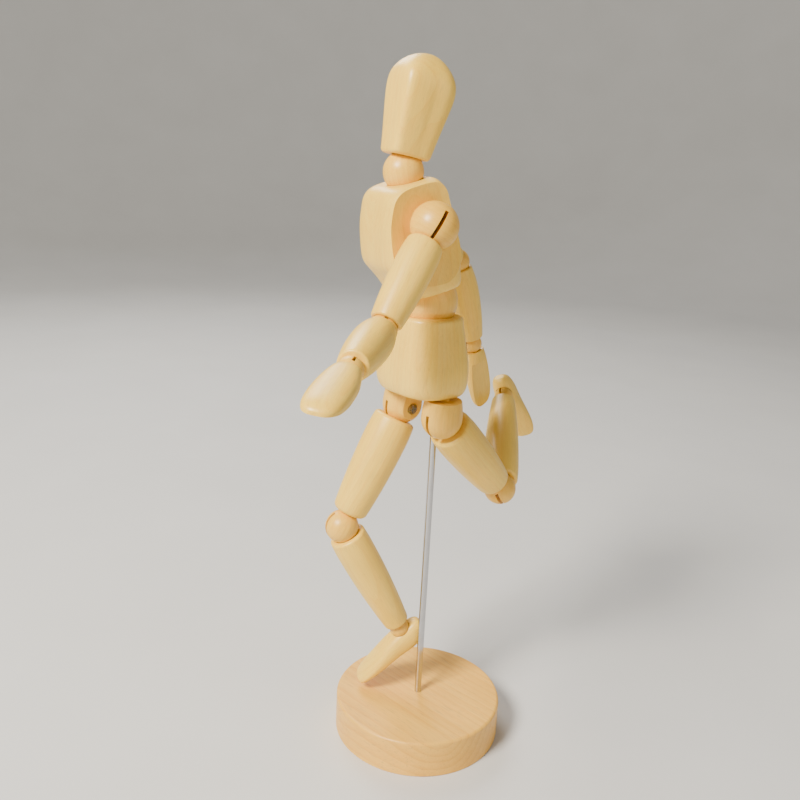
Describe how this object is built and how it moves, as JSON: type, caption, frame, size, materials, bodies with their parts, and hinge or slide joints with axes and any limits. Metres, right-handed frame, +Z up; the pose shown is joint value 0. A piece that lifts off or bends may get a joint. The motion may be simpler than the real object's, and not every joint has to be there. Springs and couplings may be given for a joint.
{
  "type": "artist mannequin",
  "caption": "Jointed wooden artist's mannequin in a running pose, carried on a steel rod by a round wooden base; plain faceless head, ball joints at every limb.",
  "frame": {"origin": "centre of the base's flat underside", "axes": "+Z up along the rod; the pelvis faces -Y; the figure's left side is +X"},
  "size_m": [0.1101, 0.2042, 0.2918],
  "materials": {
    "figure_wood": "satin",
    "base_wood": "satin",
    "rod_steel": "polished",
    "pin_steel": "satin",
    "link_steel": "satin",
    "spring_steel": "satin"
  },
  "bodies": {
    "stand": {"base": "base_wood", "rod": "rod_steel"},
    "pelvis": {"pelvis": "figure_wood"},
    "waist_ball": {"waist_ball": "figure_wood"},
    "chest": {"chest": "figure_wood", "torso_springs": "spring_steel"},
    "neck": {"neck": "figure_wood"},
    "head": {"head": "figure_wood"},
    "left_hip_ball": {"left_hip_ball": "figure_wood", "left_hip_pin": "pin_steel"},
    "left_thigh": {"left_thigh": "figure_wood", "left_hip_link": "link_steel", "left_thigh_spring": "spring_steel"},
    "left_knee_ball": {"left_knee_ball": "figure_wood", "left_knee_pin": "pin_steel"},
    "left_shin": {"left_shin": "figure_wood", "left_knee_link": "link_steel", "left_shin_spring": "spring_steel"},
    "left_ankle_ball": {"left_ankle_ball": "figure_wood", "left_ankle_pin": "pin_steel"},
    "left_foot": {"left_foot": "figure_wood"},
    "left_shoulder_ball": {"left_shoulder_ball": "figure_wood", "left_shoulder_pin": "pin_steel"},
    "left_upper_arm": {"left_upper_arm": "figure_wood", "left_shoulder_link": "link_steel", "left_upper_arm_spring": "spring_steel"},
    "left_elbow_ball": {"left_elbow_ball": "figure_wood", "left_elbow_pin": "pin_steel"},
    "left_forearm": {"left_forearm": "figure_wood", "left_elbow_link": "link_steel", "left_forearm_spring": "spring_steel"},
    "left_wrist_ball": {"left_wrist_ball": "figure_wood", "left_wrist_pin": "pin_steel"},
    "left_hand": {"left_hand": "figure_wood"},
    "right_hip_ball": {"right_hip_ball": "figure_wood", "right_hip_pin": "pin_steel"},
    "right_thigh": {"right_thigh": "figure_wood", "right_hip_link": "link_steel", "right_thigh_spring": "spring_steel"},
    "right_knee_ball": {"right_knee_ball": "figure_wood", "right_knee_pin": "pin_steel"},
    "right_shin": {"right_shin": "figure_wood", "right_knee_link": "link_steel", "right_shin_spring": "spring_steel"},
    "right_ankle_ball": {"right_ankle_ball": "figure_wood", "right_ankle_pin": "pin_steel"},
    "right_foot": {"right_foot": "figure_wood"},
    "right_shoulder_ball": {"right_shoulder_ball": "figure_wood", "right_shoulder_pin": "pin_steel"},
    "right_upper_arm": {"right_upper_arm": "figure_wood", "right_shoulder_link": "link_steel", "right_upper_arm_spring": "spring_steel"},
    "right_elbow_ball": {"right_elbow_ball": "figure_wood", "right_elbow_pin": "pin_steel"},
    "right_forearm": {"right_forearm": "figure_wood", "right_elbow_link": "link_steel", "right_forearm_spring": "spring_steel"},
    "right_wrist_ball": {"right_wrist_ball": "figure_wood", "right_wrist_pin": "pin_steel"},
    "right_hand": {"right_hand": "figure_wood"}
  },
  "joints": [
    {"name": "figure_turn", "type": "hinge", "parent": "stand", "child": "pelvis", "pos_m": [0, 0, 0], "axis": [0, 0, 1], "continuous": true},
    {"name": "waist_turn", "type": "hinge", "parent": "pelvis", "child": "waist_ball", "pos_m": [0, -0.0075, 0.2002], "axis": [0, 0, 1], "range_deg": [-30, 50]},
    {"name": "waist_bend", "type": "hinge", "parent": "waist_ball", "child": "chest", "pos_m": [0, -0.0075, 0.2002], "axis": [0.9744, -0.225, 0], "range_deg": [-35, 12]},
    {"name": "neck_nod", "type": "hinge", "parent": "chest", "child": "neck", "pos_m": [-0.00306, -0.02075, 0.24956], "axis": [0.9744, -0.225, 0], "range_deg": [-15, 40]},
    {"name": "head_turn", "type": "hinge", "parent": "neck", "child": "head", "pos_m": [-0.00306, -0.02075, 0.24956], "axis": [0.0452, 0.1959, 0.9796], "range_deg": [-70, 70]},
    {"name": "left_shoulder_swing", "type": "hinge", "parent": "chest", "child": "left_shoulder_ball", "pos_m": [0.01524, -0.01974, 0.23105], "axis": [0.9744, -0.225, 0], "range_deg": [-97, 110]},
    {"name": "left_shoulder_raise", "type": "hinge", "parent": "left_shoulder_ball", "child": "left_upper_arm", "pos_m": [0.01524, -0.01974, 0.23105], "axis": [0.4709, 0.7288, -0.4971], "range_deg": [-70, 0.2]},
    {"name": "left_elbow_turn", "type": "hinge", "parent": "left_upper_arm", "child": "left_elbow_ball", "pos_m": [0.02271, -0.04851, 0.19595], "axis": [-0.1625, 0.6255, 0.7631], "range_deg": [-150, 16]},
    {"name": "left_elbow_bend", "type": "hinge", "parent": "left_elbow_ball", "child": "left_forearm", "pos_m": [0.02271, -0.04851, 0.19595], "axis": [0.7074, 0.613, -0.3518], "range_deg": [-12, 46]},
    {"name": "left_wrist_bend", "type": "hinge", "parent": "left_forearm", "child": "left_wrist_ball", "pos_m": [0.04804, -0.08052, 0.19112], "axis": [0.7074, 0.613, -0.3518], "range_deg": [-37, 32]},
    {"name": "left_wrist_turn", "type": "hinge", "parent": "left_wrist_ball", "child": "left_hand", "pos_m": [0.04804, -0.08052, 0.19112], "axis": [-0.6032, 0.7831, 0.1514], "range_deg": [-90, 90]},
    {"name": "left_hip_turn", "type": "hinge", "parent": "pelvis", "child": "left_hip_ball", "pos_m": [0.0126, -0.0075, 0.154], "axis": [0.0454, 0, 0.999], "range_deg": [-40, 4]},
    {"name": "left_hip_swing", "type": "hinge", "parent": "left_hip_ball", "child": "left_thigh", "pos_m": [0.0126, -0.0075, 0.154], "axis": [0.9973, 0.0576, -0.0453], "range_deg": [-18.5, 10]},
    {"name": "left_knee_turn", "type": "hinge", "parent": "left_thigh", "child": "left_knee_ball", "pos_m": [0.00829, 0.03501, 0.11303], "axis": [0.0729, -0.7181, 0.6921], "range_deg": [-90, 20]},
    {"name": "left_knee_bend", "type": "hinge", "parent": "left_knee_ball", "child": "left_shin", "pos_m": [0.00829, 0.03501, 0.11303], "axis": [0.7825, 0.4714, 0.4068], "range_deg": [-78, 1.2]},
    {"name": "left_ankle_bend", "type": "hinge", "parent": "left_shin", "child": "left_ankle_ball", "pos_m": [-0.02945, 0.07318, 0.14138], "axis": [0.7825, 0.4714, 0.4068], "range_deg": [-20, 48]},
    {"name": "left_ankle_turn", "type": "hinge", "parent": "left_ankle_ball", "child": "left_foot", "pos_m": [-0.02945, 0.07318, 0.14138], "axis": [0.5929, -0.7636, -0.2556], "range_deg": [-37, 42]},
    {"name": "right_shoulder_swing", "type": "hinge", "parent": "chest", "child": "right_shoulder_ball", "pos_m": [-0.01906, -0.01182, 0.23105], "axis": [0.9744, -0.225, 0], "range_deg": [-180, 12]},
    {"name": "right_shoulder_raise", "type": "hinge", "parent": "right_shoulder_ball", "child": "right_upper_arm", "pos_m": [-0.01906, -0.01182, 0.23105], "axis": [0.1011, 0.4378, 0.8934], "range_deg": [-0.5, 70]},
    {"name": "right_elbow_turn", "type": "hinge", "parent": "right_upper_arm", "child": "right_elbow_ball", "pos_m": [-0.0238, 0.02948, 0.21135], "axis": [0.1031, -0.8977, 0.4283], "range_deg": [-100, 78]},
    {"name": "right_elbow_bend", "type": "hinge", "parent": "right_elbow_ball", "child": "right_forearm", "pos_m": [-0.0238, 0.02948, 0.21135], "axis": [0.9914, 0.1277, 0.0292], "range_deg": [-14, 44]},
    {"name": "right_wrist_bend", "type": "hinge", "parent": "right_forearm", "child": "right_wrist_ball", "pos_m": [-0.02443, 0.04325, 0.17263], "axis": [0.9914, 0.1277, 0.0292], "range_deg": [-35, 35]},
    {"name": "right_wrist_turn", "type": "hinge", "parent": "right_wrist_ball", "child": "right_hand", "pos_m": [-0.02443, 0.04325, 0.17263], "axis": [0.0154, -0.3351, 0.9421], "range_deg": [-90, 90]},
    {"name": "right_hip_turn", "type": "hinge", "parent": "pelvis", "child": "right_hip_ball", "pos_m": [-0.0126, -0.0075, 0.154], "axis": [0.0993, 0, 0.9951], "range_deg": [-0.8, 40]},
    {"name": "right_hip_swing", "type": "hinge", "parent": "right_hip_ball", "child": "right_thigh", "pos_m": [-0.0126, -0.0075, 0.154], "axis": [0.9935, -0.0558, -0.0992], "range_deg": [-25, 50]},
    {"name": "right_knee_turn", "type": "hinge", "parent": "right_thigh", "child": "right_knee_ball", "pos_m": [-0.01932, -0.03239, 0.10071], "axis": [0.1135, 0.4204, 0.9002], "range_deg": [0, 70]},
    {"name": "right_knee_bend", "type": "hinge", "parent": "right_knee_ball", "child": "right_shin", "pos_m": [-0.01932, -0.03239, 0.10071], "axis": [0.9527, -0.3033, 0.0215], "range_deg": [-54, 14]},
    {"name": "right_ankle_bend", "type": "hinge", "parent": "right_shin", "child": "right_ankle_ball", "pos_m": [-0.00943, -0.00512, 0.04738], "axis": [0.9527, -0.3033, 0.0215], "range_deg": [-43, 13]},
    {"name": "right_ankle_turn", "type": "hinge", "parent": "right_ankle_ball", "child": "right_foot", "pos_m": [-0.00943, -0.00512, 0.04738], "axis": [-0.2002, -0.5724, 0.7951], "range_deg": [-5.5, 49]}
  ]
}
